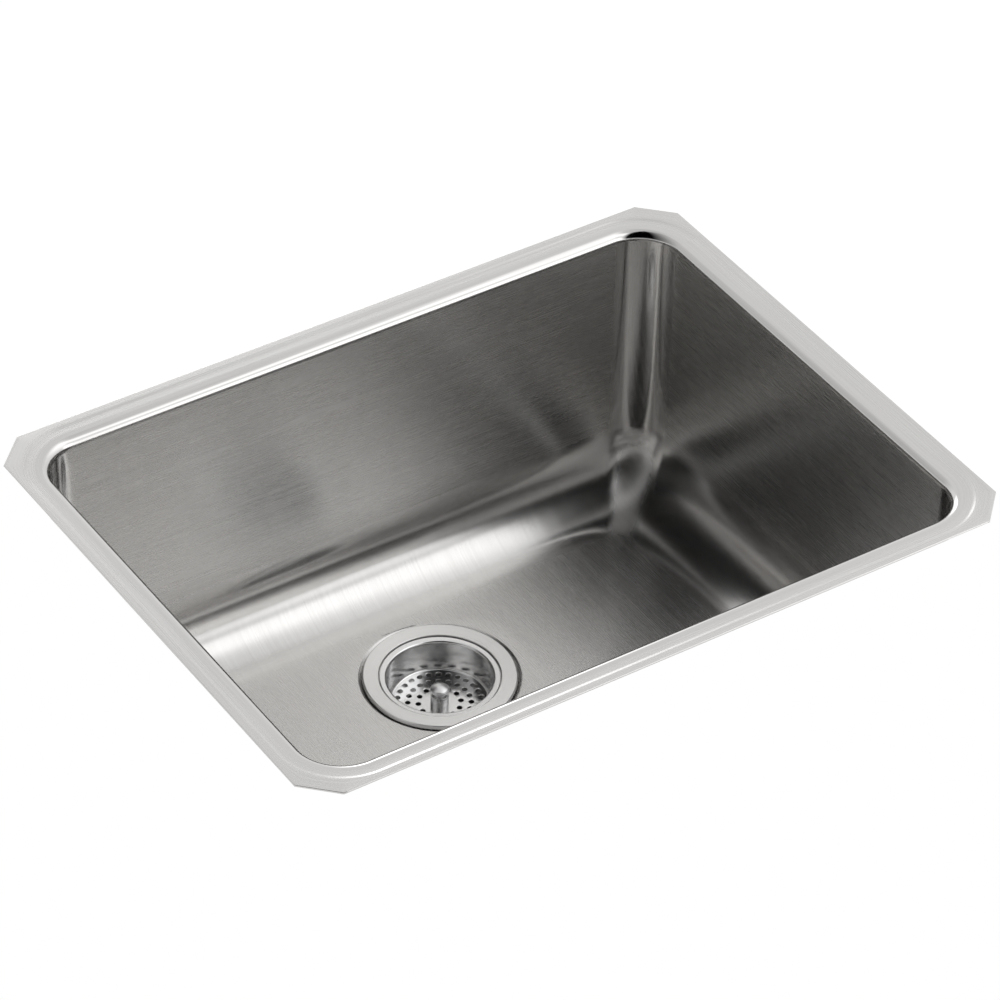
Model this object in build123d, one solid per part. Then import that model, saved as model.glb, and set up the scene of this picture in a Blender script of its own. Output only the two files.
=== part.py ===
"""Undermount kitchen sink: a drawn stainless bowl with its basket strainer, tailpiece and sound pads.

Millimetres, +Z up. The origin is the centre of the flange's top plane, which goes up against the
underside of the worktop. +X is the bowl's right, +Y is its back.
"""

import math
import os

from build123d import *

# ---- bowl pressing ----
flange_length = 584.2  # 23 in, left to right
flange_width = 444.5  # 17-1/2 in, front to back
flange_corner_cut = 23.8  # 45 degree cut on each corner of the flange
rim_width = 23.8  # edge of the flange to the inner face of the wall
sheet = 1.2  # 18 gauge stainless
bowl_depth = 241.3  # 9-1/2 in, top of the flange to the floor
wall_corner_radius = 33.0  # upright corners, inner face
floor_bend_radius = 55.0  # wall into floor, inner face
floor_corner_radius = 14.0  # what the upright corners have tightened to at the floor
floor_bend_steps = 10  # outlines that the bend is lofted through, less one
roll_radius = 8.0  # roll of the rim into the wall, top face
rim_step = 0.8  # drop from the flange to the land inside it
step_start = 5.0  # flange edge to the top of that step
step_width = 3.5

# ---- drain in the bowl's floor ----
drain_behind_centre = 73.0  # drain axis behind the middle of the bowl
drain_hole_radius = 46.0  # 3-5/8 in hole
recess_depth = 2.5
recess_slope = 2.5  # width of the recess's sloping edge
recess_clearance = 0.5  # round the strainer's flange

# ---- strainer body ----
strainer_flange_radius = 58.4  # nominal 4-1/2 in flange, over its rolled edge
strainer_flange_thickness = 3.8
strainer_flange_fall = 0.6  # its face falls this far towards the basket
basket_seat_radius = 46.2  # counterbore that the basket's rim drops into
basket_seat_depth = 2.8  # below the flange's highest edge
basket_seat_fall = 0.6  # the seat falls this far towards the middle
barrel_radius = 44.0
barrel_wall = 2.3
barrel_length = 32.6  # flange top to the end of the straight barrel
barrel_taper = 2.0  # inner wall closes in by this much on the way down
body_cone_height = 14.0
outlet_radius = 23.75  # 1-1/2 in pipe thread, outside
outlet_bore_radius = 20.5
outlet_length = 21.0
seat_edge_rounding = 0.6  # where the flange turns down into the counterbore
flange_edge_rounding = 0.9
body_bend_outside = 3.0  # barrel into cone
body_bend_inside = 4.0
outlet_bend = 1.5  # cone into outlet

# ---- seals and locknut under the floor ----
gasket_thickness = 1.0
gasket_inset = 1.5  # hidden behind the flange's edge
rubber_washer_thickness = 3.0
rubber_washer_radius = 56.0
friction_ring_thickness = 1.2
friction_ring_radius = 54.5
thread_clearance = 0.15
locknut_height = 12.0
locknut_collar_radius = 50.0
locknut_flange_thickness = 4.0
locknut_edge = 0.8  # rounding of the nut's edges
locknut_lugs = 8
locknut_lug_width = 11.0
locknut_lug_reach = 7.0
locknut_lug_rounding = 2.5

# ---- crossbar in the outlet ----
crossbar_thickness = 3.0
crossbar_arm_width = 4.0
crossbar_drop = 6.0  # below the top of the outlet
hub_radius = 7.5
hub_height = 9.0
hub_bore_radius = 5.3

# ---- basket ----
cup_sheet = 0.8
cup_mouth_radius = 40.3  # inner edge of the basket's rim
cup_floor_radius = 38.0
cup_depth = 25.8  # rim to the perforated floor
cup_bend = 2.0  # inner bend at the floor
cup_lip_bend = 1.2
cup_edge_rounding = 0.3
rim_side_clearance = 0.8
seat_clearance = 0.3
hole_radius = 2.1
hole_ring_radii = (32.1, 24.0, 16.2)
holes_per_ring = (27, 20, 12)
basket_turn = 5.5  # degrees that the basket happens to be turned about its post

# ---- post, knob and stopper ----
post_radius = 6.9
post_top_height = 8.0  # post above the basket's floor
post_head_rounding = 0.5
knob_radius = 7.3
knob_edge_height = 2.0
knob_dome_height = 2.0
knob_neck_radius = 4.2
knob_neck_height = 3.6
knob_spigot_radius = 2.4
knob_spigot_length = 4.0
post_stem_radius = 4.4
stem_clearance = 0.1
spacer_radius = 7.0
stopper_above_outlet = 4.5  # underside of the stopper over the top of the outlet
stopper_thickness = 5.5
stopper_lip = 3.0  # depth of the sloping edge that seals
stopper_shoulder = 1.5  # bevel above that edge
stopper_rounding = 0.5
stopper_washer_radius = 15.0
stopper_washer_thickness = 1.2
nut_across_flats = 14.0
nut_height = 5.0
clip_wire = 1.2
clip_gap = 2.6  # the spring ring's open ends
clip_clearance = 0.2  # to the hub outside it and to the groove inside it
post_tip = 3.0  # post below the spring ring
post_tip_rounding = 1.0

# ---- tailpiece ----
tailpiece_radius = 19.05  # 1-1/2 in waste tube
tailpiece_wall = 1.3
tailpiece_length = 101.6  # 4 in
tailpiece_flange_radius = 22.6
tailpiece_flange_thickness = 1.5
tailpiece_mouth_rounding = 1.0
tailpiece_flange_bend = 0.4
tailpiece_washer_thickness = 2.5
coupling_radius = 28.5
coupling_thread_length = 13.0  # up the outlet
coupling_floor = 3.0
coupling_flats = 8
coupling_bevel = 1.5
tube_clearance = 0.6  # tailpiece in the nut's floor

# ---- sound-deadening pads ----
pad_thickness = 3.0
pad_corner_radius = 12.0
pad_height = 130.0
pad_below_flange = 52.0
long_pad_length = 380.0
short_pad_length = 240.0
bottom_pad_width = 250.0
bottom_pad_inset = 6.0  # from the end of the floor's bend
bottom_pad_gap = 15.9  # to the edge of the drain's recess

# ---- worked out from the sizes above ----
opening_length = flange_length - 2 * rim_width
opening_width = flange_width - 2 * rim_width
bend_top = -bowl_depth + floor_bend_radius
step_top = rim_width - step_start
step_foot = step_top - step_width
floor_under = -bowl_depth - sheet
recess_top = -bowl_depth - recess_depth
recess_inner = strainer_flange_radius + recess_clearance
recess_outer = recess_inner + recess_slope
strainer_top = recess_top + gasket_thickness + strainer_flange_thickness
barrel_bore = barrel_radius - barrel_wall
barrel_end = strainer_top - barrel_length
outlet_top = barrel_end - body_cone_height
outlet_end = outlet_top - outlet_length
seat_inner_top = strainer_top - basket_seat_depth - basket_seat_fall
drain_axis = Axis((0, drain_behind_centre, 0), (0, 0, 1))
drain_plane = Plane(origin=(0, drain_behind_centre, 0), x_dir=(1, 0, 0), z_dir=(0, -1, 0))


def turned(points, radii=0.0, arc=360.0):
    """Solid of revolution about the drain's axis from a closed outline of (radius, height) points."""
    outline = FilletPolyline(*points, radius=radii, close=True)
    face = make_face(drain_plane * outline)
    return revolve(face, drain_axis, arc)


def ring(inner, outer, top, thickness):
    """Plain flat ring about the drain's axis, hanging down from its top face."""
    return turned([(inner, top), (outer, top), (outer, top - thickness), (inner, top - thickness)])


def over_drain(shape, height):
    """Shape drawn on the XY plane, moved to the drain's axis at a height."""
    return Pos(0, drain_behind_centre, height) * shape


def rounded_slab(length, width, radius, top, thickness):
    """Slab with rounded upright corners, centred on the bowl."""
    return Pos(0, 0, top - thickness) * extrude(RectangleRounded(length, width, radius), thickness)


def wall_section():
    """Section of the sheet, from the rim's step down the wall to the top of the floor's bend.

    The first number is the distance out from the wall's inner face, the second is the height.
    """
    land = -rim_step
    roll_centre = land - roll_radius
    under_roll = roll_radius - sheet
    slant = math.sqrt(0.5)
    upper = [
        Line((step_top, 0), (step_foot, land)),
        Line((step_foot, land), (roll_radius, land)),
        ThreePointArc(
            (roll_radius, land),
            (roll_radius * (1 - slant), roll_centre + roll_radius * slant),
            (0, roll_centre),
        ),
        Line((0, roll_centre), (0, bend_top)),
    ]
    lower = [
        Line((0, bend_top), (sheet, bend_top)),
        Line((sheet, bend_top), (sheet, roll_centre)),
        ThreePointArc(
            (sheet, roll_centre),
            (roll_radius - under_roll * slant, roll_centre + under_roll * slant),
            (roll_radius, land - sheet),
        ),
        Line((roll_radius, land - sheet), (step_foot, land - sheet)),
        Line((step_foot, land - sheet), (step_top, -sheet)),
        Line((step_top, -sheet), (step_top, 0)),
    ]
    return make_face(Wire(upper + lower))


def bend_solid(grow):
    """Everything inside the bowl's bend, with the wall's face moved out by grow.

    The outline shrinks along a quarter circle on its way down, and its corners tighten with it.
    """
    radius = floor_bend_radius + grow
    outlines = []
    for step in range(floor_bend_steps + 1):
        angle = math.pi / 2 * step / floor_bend_steps
        share = 1 - math.cos(angle)
        reach = grow - radius * share
        corner = wall_corner_radius + (floor_corner_radius - wall_corner_radius) * share + grow
        outline = RectangleRounded(opening_length + 2 * reach, opening_width + 2 * reach, corner)
        outlines.append(Pos(0, 0, bend_top - radius * math.sin(angle)) * outline)
    return loft(outlines)


def sink_bowl():
    """Flange, rolled rim, walls and floor of one constant sheet thickness, with the drain's recess."""
    section = wall_section()
    half_length = opening_length / 2
    half_width = opening_width / 2
    core_x = half_length - wall_corner_radius
    core_y = half_width - wall_corner_radius
    right_plane = Plane(origin=(half_length, 0, 0), x_dir=(1, 0, 0), z_dir=(0, -1, 0))
    back_plane = Plane(origin=(0, half_width, 0), x_dir=(0, 1, 0), z_dir=(1, 0, 0))
    corner_plane = Plane(origin=(half_length, core_y, 0), x_dir=(1, 0, 0), z_dir=(0, -1, 0))
    right_wall = extrude(right_plane * section, core_y, both=True)
    back_wall = extrude(back_plane * section, core_x, both=True)
    corner = revolve(corner_plane * section, Axis((core_x, core_y, 0), (0, 0, 1)), 90)
    walls = right_wall + mirror(right_wall, Plane.YZ) + back_wall + mirror(back_wall, Plane.XZ)
    right_corners = corner + mirror(corner, Plane.XZ)
    walls += right_corners + mirror(right_corners, Plane.YZ)

    flange = Pos(0, 0, -sheet) * extrude(
        chamfer(Rectangle(flange_length, flange_width).vertices(), flange_corner_cut), sheet
    )
    flange -= rounded_slab(
        opening_length + 2 * step_top,
        opening_width + 2 * step_top,
        wall_corner_radius + step_top,
        0,
        sheet,
    )
    pan = bend_solid(sheet) - bend_solid(0)
    pan -= over_drain(extrude(Circle(recess_outer), sheet), floor_under)
    recess = turned(
        [
            (drain_hole_radius, recess_top),
            (recess_inner, recess_top),
            (recess_outer, -bowl_depth),
            (recess_outer, floor_under),
            (recess_inner, recess_top - sheet),
            (drain_hole_radius, recess_top - sheet),
        ]
    )
    return walls + flange + pan + recess


def strainer_body():
    """Turned body: flange with the basket's counterbore, threaded barrel, cone and outlet."""
    flange_under = strainer_top - strainer_flange_thickness
    seat_top = strainer_top - basket_seat_depth
    outline = [
        (basket_seat_radius, strainer_top - strainer_flange_fall),
        (strainer_flange_radius, strainer_top),
        (strainer_flange_radius, flange_under),
        (barrel_radius, flange_under),
        (barrel_radius, barrel_end - barrel_wall),
        (outlet_radius, outlet_top - barrel_wall),
        (outlet_radius, outlet_end),
        (outlet_bore_radius, outlet_end),
        (outlet_bore_radius, outlet_top),
        (barrel_bore - barrel_taper, barrel_end),
        (barrel_bore, seat_inner_top),
        (basket_seat_radius, seat_top),
    ]
    upper_radii = [seat_edge_rounding, flange_edge_rounding, 0, 0, body_bend_outside, outlet_bend]
    lower_radii = [0, 0, outlet_bend, body_bend_inside, 0, 0]
    return turned(outline, upper_radii + lower_radii)


def strainer_crossbar():
    """Two crossed bars in the outlet, carrying the hub that guides the post."""
    bar_top = outlet_top - crossbar_drop
    bars = Rectangle(2 * outlet_bore_radius, crossbar_arm_width) + Rectangle(
        crossbar_arm_width, 2 * outlet_bore_radius
    )
    bars &= Circle(outlet_bore_radius)
    bars += Circle(hub_radius)
    cross = over_drain(extrude(bars, crossbar_thickness), bar_top - crossbar_thickness)
    cross += over_drain(extrude(Circle(hub_radius), hub_height), bar_top - hub_height)
    return cross - over_drain(extrude(Circle(hub_bore_radius), hub_height), bar_top - hub_height)


def flange_gasket():
    """Sealing ring between the strainer's flange and the recess."""
    outer = strainer_flange_radius - gasket_inset
    return ring(drain_hole_radius, outer, recess_top + gasket_thickness, gasket_thickness)


def rubber_washer():
    """Rubber seal pressed up against the bowl's floor."""
    inner = barrel_radius + thread_clearance
    return ring(inner, rubber_washer_radius, recess_top - sheet, rubber_washer_thickness)


def friction_ring():
    """Fibre ring that lets the locknut turn on the rubber."""
    top = recess_top - sheet - rubber_washer_thickness
    return ring(barrel_radius + thread_clearance, friction_ring_radius, top, friction_ring_thickness)


def strainer_locknut():
    """Cast nut with a broad foot against the friction ring and lugs round its collar."""
    top = recess_top - sheet - rubber_washer_thickness - friction_ring_thickness
    bore = barrel_radius + thread_clearance
    foot_edge = top - locknut_flange_thickness
    nut = turned(
        [
            (bore, top),
            (friction_ring_radius, top),
            (friction_ring_radius, foot_edge),
            (locknut_collar_radius, foot_edge),
            (locknut_collar_radius, top - locknut_height),
            (bore, top - locknut_height),
        ],
        [0, locknut_edge, locknut_edge, 0, locknut_edge, 0],
    )
    reach = locknut_collar_radius + locknut_lug_reach
    lug = RectangleRounded(2 * reach, locknut_lug_width, locknut_lug_rounding)
    for turn in range(locknut_lugs // 2):
        bar = over_drain(extrude(lug, locknut_height), top - locknut_height)
        nut += bar.rotate(drain_axis, turn * 360 / locknut_lugs)
    return nut - over_drain(extrude(Circle(bore), locknut_height), top - locknut_height)


# ---- heights of the basket's stack, from the seat down ----
rim_top = strainer_top - basket_seat_depth + seat_clearance + cup_sheet
cup_floor_top = rim_top - cup_depth
cup_floor_under = cup_floor_top - cup_sheet
stopper_under = outlet_top + stopper_above_outlet
stopper_top = stopper_under + stopper_thickness
washer_under = stopper_under - stopper_washer_thickness
nut_under = washer_under - nut_height
clip_height = outlet_top - crossbar_drop - hub_height / 2
post_end = clip_height - clip_wire / 2 - post_tip
clip_ring_radius = hub_bore_radius - clip_clearance - clip_wire / 2
groove_radius = clip_ring_radius - clip_wire / 2 - clip_clearance


def basket_cup():
    """Drawn cup with a flat rim, a polished tapering wall and a perforated floor."""
    rim_edge = basket_seat_radius - rim_side_clearance
    outline = [
        (post_stem_radius + stem_clearance, cup_floor_top),
        (cup_floor_radius, cup_floor_top),
        (cup_mouth_radius, rim_top),
        (rim_edge, rim_top),
        (rim_edge, rim_top - cup_sheet),
        (cup_mouth_radius + cup_sheet, rim_top - cup_sheet),
        (cup_floor_radius + cup_sheet, cup_floor_under),
        (post_stem_radius + stem_clearance, cup_floor_under),
    ]
    inside_radii = [0, cup_bend, cup_lip_bend + cup_sheet, cup_edge_rounding]
    outside_radii = [cup_edge_rounding, cup_lip_bend, cup_bend + cup_sheet, 0]
    cup = turned(outline, inside_radii + outside_radii)
    drill = extrude(Circle(hole_radius), 2 * cup_sheet)
    for ring_radius, holes in zip(hole_ring_radii, holes_per_ring):
        drills = PolarLocations(ring_radius, holes, basket_turn) * drill
        cup -= [over_drain(d, cup_floor_under - cup_sheet / 2) for d in drills]
    return cup


def basket_post():
    """Turned post: a stout head above the basket's floor, a thin stem below, a groove near the tip."""
    head_top = cup_floor_top + post_top_height
    groove_top = clip_height + clip_wire / 2 + clip_clearance
    groove_foot = clip_height - clip_wire / 2 - clip_clearance
    socket = knob_spigot_radius + stem_clearance
    outline = [
        (0, head_top - knob_spigot_length - stem_clearance),
        (socket, head_top - knob_spigot_length - stem_clearance),
        (socket, head_top),
        (post_radius, head_top),
        (post_radius, cup_floor_top),
        (post_stem_radius, cup_floor_top),
        (post_stem_radius, groove_top),
        (groove_radius, groove_top),
        (groove_radius, groove_foot),
        (post_stem_radius, groove_foot),
        (post_stem_radius, post_end),
        (0, post_end),
    ]
    return turned(outline, [0, 0, 0, post_head_rounding, 0, 0, 0, 0, 0, 0, post_tip_rounding, 0])


def basket_knob():
    """Domed button on a narrower neck, with a spigot into the post's head."""
    foot = cup_floor_top + post_top_height
    edge_foot = foot + knob_neck_height
    edge_top = edge_foot + knob_edge_height
    crown = edge_top + knob_dome_height
    bulge = (knob_radius**2 + knob_dome_height**2) / (2 * knob_dome_height)
    half = knob_radius / 2
    mid_height = crown - bulge + math.sqrt(bulge**2 - half**2)
    outline = Wire(
        [
            Line((0, foot - knob_spigot_length), (knob_spigot_radius, foot - knob_spigot_length)),
            Line((knob_spigot_radius, foot - knob_spigot_length), (knob_spigot_radius, foot)),
            Line((knob_spigot_radius, foot), (knob_neck_radius, foot)),
            Line((knob_neck_radius, foot), (knob_neck_radius, edge_foot)),
            Line((knob_neck_radius, edge_foot), (knob_radius, edge_foot)),
            Line((knob_radius, edge_foot), (knob_radius, edge_top)),
            ThreePointArc((knob_radius, edge_top), (half, mid_height), (0, crown)),
            Line((0, crown), (0, foot - knob_spigot_length)),
        ]
    )
    return revolve(make_face(drain_plane * outline), drain_axis)


def post_spacer():
    """Sleeve that carries the stopper below the basket's floor."""
    length = cup_floor_under - stopper_top
    return ring(post_stem_radius + stem_clearance, spacer_radius, cup_floor_under, length)


def basket_stopper():
    """Rubber disc whose sloping edge sits just off the body's cone."""
    inner = post_stem_radius + stem_clearance
    fall = barrel_end - outlet_top
    widening = barrel_bore - barrel_taper - outlet_bore_radius
    sideways = seat_clearance * math.hypot(1, widening / fall)
    lip_foot = outlet_bore_radius + widening * stopper_above_outlet / fall - sideways
    lip_top = lip_foot + widening * stopper_lip / fall
    outline = [
        (inner, stopper_top),
        (lip_top - stopper_shoulder, stopper_top),
        (lip_top, stopper_under + stopper_lip),
        (lip_foot, stopper_under),
        (inner, stopper_under),
    ]
    return turned(outline, [0, stopper_rounding, stopper_rounding, stopper_rounding, 0])


def stopper_washer():
    """Steel washer that spreads the nut's grip under the stopper."""
    inner = post_stem_radius + stem_clearance
    return ring(inner, stopper_washer_radius, stopper_under, stopper_washer_thickness)


def post_nut():
    """Hexagon nut on the post's stem."""
    hexagon = RegularPolygon(nut_across_flats / 2, 6, major_radius=False)
    nut = extrude(hexagon - Circle(post_stem_radius + stem_clearance), nut_height)
    return over_drain(nut, nut_under)


def snap_clip():
    """Split ring of spring wire in the post's groove."""
    wire_section = drain_plane * (Pos(clip_ring_radius, clip_height) * Circle(clip_wire / 2))
    open_angle = math.degrees(clip_gap / clip_ring_radius)
    return revolve(wire_section, drain_axis, 360 - open_angle)


def tailpiece_washer():
    """Flat seal between the outlet's end and the tailpiece's flange."""
    return ring(outlet_bore_radius, tailpiece_flange_radius, outlet_end, tailpiece_washer_thickness)


def tailpiece():
    """Waste tube with the flange that the coupling nut pulls up."""
    top = outlet_end - tailpiece_washer_thickness
    inner = tailpiece_radius - tailpiece_wall
    flange_under = top - tailpiece_flange_thickness
    end = top - tailpiece_length
    outline = [
        (inner, top),
        (tailpiece_flange_radius, top),
        (tailpiece_flange_radius, flange_under),
        (tailpiece_radius, flange_under),
        (tailpiece_radius, end),
        (inner, end),
    ]
    return turned(outline, [tailpiece_mouth_rounding, 0, 0, tailpiece_flange_bend, 0, 0])


def coupling_nut():
    """Slip nut with flats, threaded on the outlet, its floor under the tailpiece's flange."""
    top = outlet_end + coupling_thread_length
    flange_under = outlet_end - tailpiece_washer_thickness - tailpiece_flange_thickness
    bottom = flange_under - coupling_floor
    flats = RegularPolygon(coupling_radius, coupling_flats, major_radius=False)
    nut = over_drain(extrude(flats, top - bottom), bottom)
    corner = coupling_radius / math.cos(math.pi / coupling_flats)
    skirt = turned(
        [
            (0, top),
            (corner - coupling_bevel, top),
            (corner, top - coupling_bevel),
            (corner, bottom + coupling_bevel),
            (corner - coupling_bevel, bottom),
            (0, bottom),
        ]
    )
    nut &= skirt
    thread_bore = outlet_radius + thread_clearance
    nut -= over_drain(extrude(Circle(thread_bore), top - flange_under), flange_under)
    tube_hole = Circle(tailpiece_radius + tube_clearance)
    return nut - over_drain(extrude(tube_hole, coupling_floor), bottom)


def pad(length, width):
    """Flat rubber pad with rounded corners, glue face down on the XY plane."""
    return extrude(RectangleRounded(length, width, pad_corner_radius), pad_thickness)


def pads():
    """Rubber pads glued to the outside of the walls and of the floor."""
    middle = -pad_below_flange - pad_height / 2
    side = opening_length / 2 + sheet
    back = opening_width / 2 + sheet
    right_plane = Plane(origin=(side, 0, middle), x_dir=(0, 1, 0), z_dir=(1, 0, 0))
    rear_plane = Plane(origin=(0, back, middle), x_dir=(-1, 0, 0), z_dir=(0, 1, 0))
    bottom_start = recess_outer + bottom_pad_gap
    bottom_end = opening_length / 2 - floor_bend_radius - bottom_pad_inset
    bottom = (bottom_start + bottom_end) / 2
    bottom_plane = Plane((bottom, 0, floor_under), x_dir=(1, 0, 0), z_dir=(0, 0, -1))
    pad_right = right_plane * pad(short_pad_length, pad_height)
    pad_rear = rear_plane * pad(long_pad_length, pad_height)
    pad_bottom_right = bottom_plane * pad(bottom_end - bottom_start, bottom_pad_width)
    return {
        "pad_right": pad_right,
        "pad_left": mirror(pad_right, Plane.YZ),
        "pad_rear": pad_rear,
        "pad_front": mirror(pad_rear, Plane.XZ),
        "pad_bottom_right": pad_bottom_right,
        "pad_bottom_left": mirror(pad_bottom_right, Plane.YZ),
    }


pieces = {
    "sink_bowl": sink_bowl(),
    "flange_gasket": flange_gasket(),
    "strainer_body": strainer_body(),
    "strainer_crossbar": strainer_crossbar(),
    "rubber_washer": rubber_washer(),
    "friction_ring": friction_ring(),
    "strainer_locknut": strainer_locknut(),
    "basket_cup": basket_cup(),
    "basket_post": basket_post(),
    "basket_knob": basket_knob(),
    "post_spacer": post_spacer(),
    "basket_stopper": basket_stopper(),
    "stopper_washer": stopper_washer(),
    "post_nut": post_nut(),
    "snap_clip": snap_clip(),
    "tailpiece_washer": tailpiece_washer(),
    "tailpiece": tailpiece(),
    "coupling_nut": coupling_nut(),
    **pads(),
}

os.makedirs("parts", exist_ok=True)
for node, shape in pieces.items():
    export_step(shape, f"parts/{node}.step")
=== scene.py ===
import math

import bmesh
import bpy
import numpy as np
from mathutils import Matrix, Vector
from mathutils.geometry import delaunay_2d_cdt


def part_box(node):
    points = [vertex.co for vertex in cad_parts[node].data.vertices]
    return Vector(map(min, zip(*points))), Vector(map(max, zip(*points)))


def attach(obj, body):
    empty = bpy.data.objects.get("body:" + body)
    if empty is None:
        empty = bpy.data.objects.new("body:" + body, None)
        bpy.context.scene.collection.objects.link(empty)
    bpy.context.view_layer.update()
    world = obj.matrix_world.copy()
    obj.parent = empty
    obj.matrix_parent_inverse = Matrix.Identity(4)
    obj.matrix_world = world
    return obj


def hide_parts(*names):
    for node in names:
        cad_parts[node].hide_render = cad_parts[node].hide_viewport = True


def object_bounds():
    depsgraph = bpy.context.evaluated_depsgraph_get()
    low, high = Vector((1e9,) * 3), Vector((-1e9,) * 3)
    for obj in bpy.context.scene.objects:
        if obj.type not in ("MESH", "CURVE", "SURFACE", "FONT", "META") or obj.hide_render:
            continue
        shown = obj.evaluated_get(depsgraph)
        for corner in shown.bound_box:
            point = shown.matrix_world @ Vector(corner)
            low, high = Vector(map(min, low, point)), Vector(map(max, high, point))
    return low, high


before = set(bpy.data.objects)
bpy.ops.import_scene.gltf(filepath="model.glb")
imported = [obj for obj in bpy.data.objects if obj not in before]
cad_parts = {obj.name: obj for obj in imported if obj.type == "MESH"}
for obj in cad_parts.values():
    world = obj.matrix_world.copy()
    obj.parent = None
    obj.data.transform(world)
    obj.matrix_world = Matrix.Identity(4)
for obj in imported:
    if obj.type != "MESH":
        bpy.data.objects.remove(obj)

scene = bpy.context.scene
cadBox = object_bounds()
mm = 0.001  # every size below is in millimetres, and becomes metres in the mesh


# Link a finished mesh at the origin, ride it on its body and let it stand for its CAD node.
def linkMesh(name, mesh, body, cadNode, material):
    piece = bpy.data.objects.new(name, mesh)
    scene.collection.objects.link(piece)
    mesh.materials.append(material)
    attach(piece, body)
    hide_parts(cadNode)
    print("made", name, len(mesh.polygons), "faces")
    return piece


# Quads of a grid whose columns close on themselves, and whose rows do when closeRows is set.
def gridFaces(rows, columns, closeRows):
    lastRow = rows if closeRows else rows - 1
    i, j = np.meshgrid(np.arange(lastRow), np.arange(columns), indexing="ij")
    nextRow = (i + 1) % rows
    nextColumn = (j + 1) % columns
    quads = np.stack(
        [i * columns + j, i * columns + nextColumn, nextRow * columns + nextColumn, nextRow * columns + j],
        axis=-1,
    )
    return quads.reshape(-1, 4)


# Corner values of every quad from a (rows + 1, columns + 1, k) array, in the order of gridFaces.
def gridLoops(values):
    corners = np.stack([values[:-1, :-1], values[:-1, 1:], values[1:, 1:], values[1:, :-1]], axis=2)
    return corners.reshape(-1, values.shape[-1])


# Mesh from points in metres and quads, with an optional corner UV and named point values.
def newMesh(name, points, quads, uv=None, marks=None):
    mesh = bpy.data.meshes.new(name)
    mesh.vertices.add(len(points))
    mesh.vertices.foreach_set("co", points.astype(np.float32).ravel())
    mesh.loops.add(quads.size)
    mesh.loops.foreach_set("vertex_index", quads.astype(np.int32).ravel())
    mesh.polygons.add(len(quads))
    mesh.polygons.foreach_set("loop_start", np.arange(0, quads.size, 4, dtype=np.int32))
    mesh.update(calc_edges=True)
    mesh.polygons.foreach_set("use_smooth", np.ones(len(quads), dtype=bool))
    if uv is not None:
        layer = mesh.uv_layers.new(name="grain")
        layer.data.foreach_set("uv", uv.astype(np.float32).ravel())
    for markName, values in (marks or {}).items():
        mark = mesh.attributes.new(markName, "FLOAT", "POINT")
        mark.data.foreach_set("value", values.astype(np.float32).ravel())
    return mesh


# Merge the points that share a place, as on a turned piece's axis, and drop the faces that vanish.
def closePoles(mesh):
    work = bmesh.new()
    work.from_mesh(mesh)
    bmesh.ops.remove_doubles(work, verts=work.verts, dist=1e-7)
    bmesh.ops.dissolve_degenerate(work, edges=work.edges, dist=1e-8)
    bmesh.ops.delete(work, geom=[edge for edge in work.edges if edge.is_wire], context="EDGES")
    bmesh.ops.delete(work, geom=[vert for vert in work.verts if not vert.link_faces], context="VERTS")
    work.to_mesh(mesh)
    work.free()


# Closed outline: each corner of the polygon becomes a circular arc of its radius. A short support
# point is set beside each arc, so that flat stretches stay flat when shaded.
def roundedOutline(points, radii, arcSteps=6, guard=0.3):
    points = np.array(points, float)
    radii = np.broadcast_to(np.asarray(radii, float), len(points))
    stretches = []
    for before, corner, after, radius in zip(np.roll(points, 1, 0), points, np.roll(points, -1, 0), radii):
        if radius <= 0:
            stretches.append(corner[None])
            continue
        inward = (before - corner) / np.linalg.norm(before - corner)
        onward = (after - corner) / np.linalg.norm(after - corner)
        half = math.acos(np.clip(inward @ onward, -1, 1)) / 2
        bisector = (inward + onward) / np.linalg.norm(inward + onward)
        centre = corner + bisector * radius / math.sin(half)
        start = corner + inward * radius / math.tan(half) - centre
        end = corner + onward * radius / math.tan(half) - centre
        sweep = math.pi - 2 * half
        t = np.linspace(0, 1, arcSteps + 1)[:, None]
        arc = (np.sin((1 - t) * sweep) * start + np.sin(t * sweep) * end) / math.sin(sweep)
        stretches.append(centre + arc)
    outline = []
    for stretch, following in zip(stretches, stretches[1:] + stretches[:1]):
        run = following[0] - stretch[-1]
        length = np.linalg.norm(run)
        outline.append(stretch)
        if length > 3 * guard:
            step = run / length * guard
            outline.append(np.stack([stretch[-1] + step, following[0] - step]))
    return np.concatenate(outline)


# Split the outline's upright run at a radius into even steps, for a thread.
def refineRun(outline, radius, foot, top, step):
    finer = []
    for a, b in zip(outline, np.roll(outline, -1, 0)):
        finer.append(a[None])
        upright = abs(a[0] - radius) < 0.01 and abs(b[0] - radius) < 0.01
        inside = min(a[1], b[1]) < top and max(a[1], b[1]) > foot
        if upright and inside and abs(a[1] - b[1]) > step:
            count = int(abs(b[1] - a[1]) / step)
            finer.append(a + (b - a) * np.linspace(0, 1, count, endpoint=False)[1:, None])
    return np.concatenate(finer)


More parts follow.
